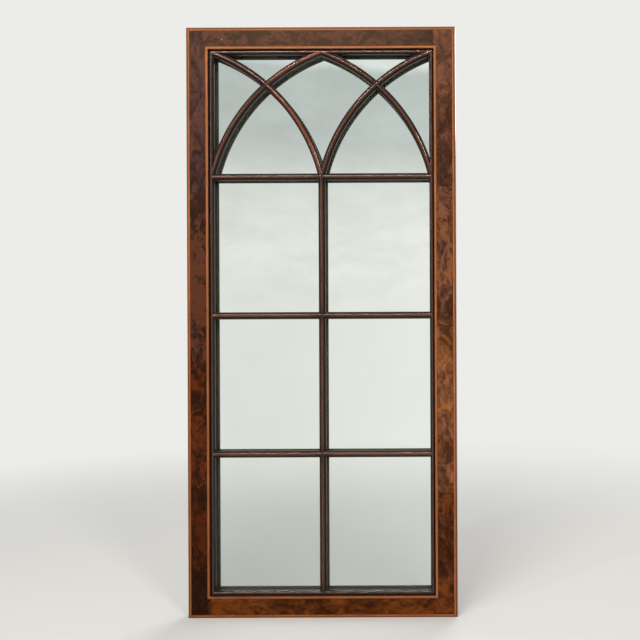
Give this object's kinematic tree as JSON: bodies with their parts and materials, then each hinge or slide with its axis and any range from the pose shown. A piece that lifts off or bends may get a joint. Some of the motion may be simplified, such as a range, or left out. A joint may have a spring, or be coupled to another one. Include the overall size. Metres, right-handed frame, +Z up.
{
  "type": "window mirror",
  "caption": "Tall wall mirror in a burl-veneered frame, with glazing bars that cross into pointed arches over one mirror plate and swinging rings behind to hang it by.",
  "frame": {"origin": "middle of the frame's underside, half way through its thickness", "axes": "+X to the right as seen from the front, +Y to the back, +Z up; the mirror face looks along -Y"},
  "size_m": [0.436, 0.0295, 0.958],
  "materials": {
    "burl_veneer": "burl walnut veneer, figured, French polished, worn satin",
    "stringing": "pale satinwood or box stringing gone honey brown, waxed",
    "bar_wood": "dark mahogany astragal, polished, rubbed paler on the crown",
    "rib_wood": "dark stained mahogany, waxed, satin",
    "frame_wood": "walnut-stained mahogany edges and back, satin",
    "mirror": "silvered float glass with a faint green cast",
    "backboard": "thin plywood backing, unfinished and aged",
    "point_steel": "plain zinc-plated steel, dull",
    "hanger_brass": "brass-plated steel, aged",
    "screw_brass": "brass wood screws, aged"
  },
  "bodies": {
    "root": {"astragal_arch_inner_left_lower": "bar_wood", "astragal_arch_inner_left_upper": "bar_wood", "astragal_arch_inner_right_lower": "bar_wood", "astragal_arch_inner_right_upper": "bar_wood", "astragal_arch_outer_left_lower": "bar_wood", "astragal_arch_outer_left_upper": "bar_wood", "astragal_arch_outer_right_lower": "bar_wood", "astragal_arch_outer_right_upper": "bar_wood", "astragal_low_left": "bar_wood", "astragal_low_right": "bar_wood", "astragal_mid_left": "bar_wood", "astragal_mid_right": "bar_wood", "astragal_spring_left": "bar_wood", "astragal_spring_right": "bar_wood", "astragal_upright_low": "bar_wood", "astragal_upright_mid": "bar_wood", "astragal_upright_spring": "bar_wood", "backboard": "backboard", "burl_veneer_bottom_1": "burl_veneer", "burl_veneer_left_1": "burl_veneer", "burl_veneer_left_2": "burl_veneer", "burl_veneer_left_3": "burl_veneer", "burl_veneer_left_4": "burl_veneer", "burl_veneer_right_1": "burl_veneer", "burl_veneer_right_2": "burl_veneer", "burl_veneer_right_3": "burl_veneer", "burl_veneer_right_4": "burl_veneer", "burl_veneer_top_1": "burl_veneer", "burl_veneer_top_2": "burl_veneer", "edge_moulding_bottom": "bar_wood", "edge_moulding_left": "bar_wood", "edge_moulding_right": "bar_wood", "edge_moulding_top": "bar_wood", "glazier_points": "point_steel", "hanger_screws": "screw_brass", "hanger_strap_left": "hanger_brass", "hanger_strap_right": "hanger_brass", "inner_stringing_bottom": "stringing", "inner_stringing_left": "stringing", "inner_stringing_right": "stringing", "inner_stringing_top": "stringing", "mirror_plate": "mirror", "outer_stringing_bottom": "stringing", "outer_stringing_left": "stringing", "outer_stringing_right": "stringing", "outer_stringing_top": "stringing", "rail_bottom": "frame_wood", "rail_top": "frame_wood", "rib_arch_inner_left": "rib_wood", "rib_arch_inner_right": "rib_wood", "rib_arch_outer_left": "rib_wood", "rib_arch_outer_right": "rib_wood", "rib_low": "rib_wood", "rib_mid": "rib_wood", "rib_spring": "rib_wood", "rib_upright": "rib_wood", "stile_left": "frame_wood", "stile_right": "frame_wood"},
    "ring_left": {"hanger_ring_left": "hanger_brass"},
    "ring_right": {"hanger_ring_right": "hanger_brass"}
  },
  "joints": [
    {"name": "ring_left_swing", "type": "hinge", "parent": "root", "child": "ring_left", "pos_m": [-0.2035, 0.01493, 0.718], "axis": [1, 0, 0], "range_deg": [0, 180]},
    {"name": "ring_right_swing", "type": "hinge", "parent": "root", "child": "ring_right", "pos_m": [0.2035, 0.01493, 0.718], "axis": [1, 0, 0], "range_deg": [0, 180]}
  ]
}
